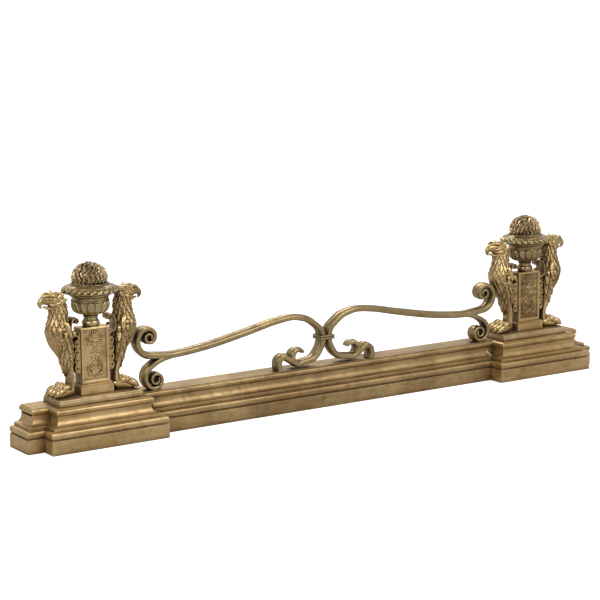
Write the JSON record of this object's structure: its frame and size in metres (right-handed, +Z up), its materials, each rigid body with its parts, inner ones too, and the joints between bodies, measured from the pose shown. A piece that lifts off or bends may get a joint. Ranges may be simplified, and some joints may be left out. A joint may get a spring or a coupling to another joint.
{
  "type": "fire fender",
  "caption": "Low brass hearth fender with a moulded base, urn pedestals held by griffins at both ends, and a scrolled handrail strapped at the middle.",
  "frame": {"origin": "centre of the bounding box's bottom face, on the floor", "axes": "+X to the right along the length, -Y to the front (the side facing the room), +Z up"},
  "size_m": [1.3, 0.123, 0.329],
  "materials": {
    "brass": "aged, brown patina on a satin ground",
    "brass_worn": "cast and chased, dark in the hollows and bright on the high spots",
    "brass_dark": "dark brown patina",
    "iron": "plain, dark"
  },
  "bodies": {
    "root": {"front_rail": "brass", "centre_collar": "brass", "end_return_left": "brass", "end_return_right": "brass", "plinth_left": "brass", "plinth_right": "brass", "socle_slab_left": "brass", "socle_slab_right": "brass", "pedestal_foot_left": "brass", "pedestal_foot_right": "brass", "pedestal_left": "brass", "pedestal_right": "brass", "urn_foot_left": "brass", "urn_foot_right": "brass", "handrail_bar_left": "brass", "handrail_bar_right": "brass", "tendril_left": "brass", "tendril_right": "brass", "panel_relief_left": "brass_worn", "panel_relief_right": "brass_worn", "urn_bowl_left": "brass_worn", "urn_bowl_right": "brass_worn", "urn_lid_left": "brass_worn", "urn_lid_right": "brass_worn", "flame_finial_left": "brass_worn", "flame_finial_right": "brass_worn", "griffin_outer_left": "brass_worn", "griffin_outer_right": "brass_worn", "griffin_inner_left": "brass_worn", "griffin_inner_right": "brass_worn", "scroll_bracket_outer_left": "brass_dark", "scroll_bracket_outer_right": "brass_dark", "scroll_bracket_inner_left": "brass_dark", "scroll_bracket_inner_right": "brass_dark", "lower_scroll_left": "brass_dark", "lower_scroll_right": "brass_dark", "rail_bracket_left": "iron", "rail_bracket_right": "iron", "bracket_screw_plinth_left": "iron", "bracket_screw_plinth_right": "iron", "bracket_screw_rail_left": "iron", "bracket_screw_rail_right": "iron", "tie_rod_left": "iron", "tie_rod_right": "iron", "tie_rod_nut_left": "iron", "tie_rod_nut_right": "iron", "griffin_screw_outer_left": "iron", "griffin_screw_outer_right": "iron", "griffin_screw_inner_left": "iron", "griffin_screw_inner_right": "iron", "rail_screw_middle_left": "iron", "rail_screw_middle_right": "iron", "rail_screw_end_left": "iron", "rail_screw_end_right": "iron"}
  },
  "joints": []
}
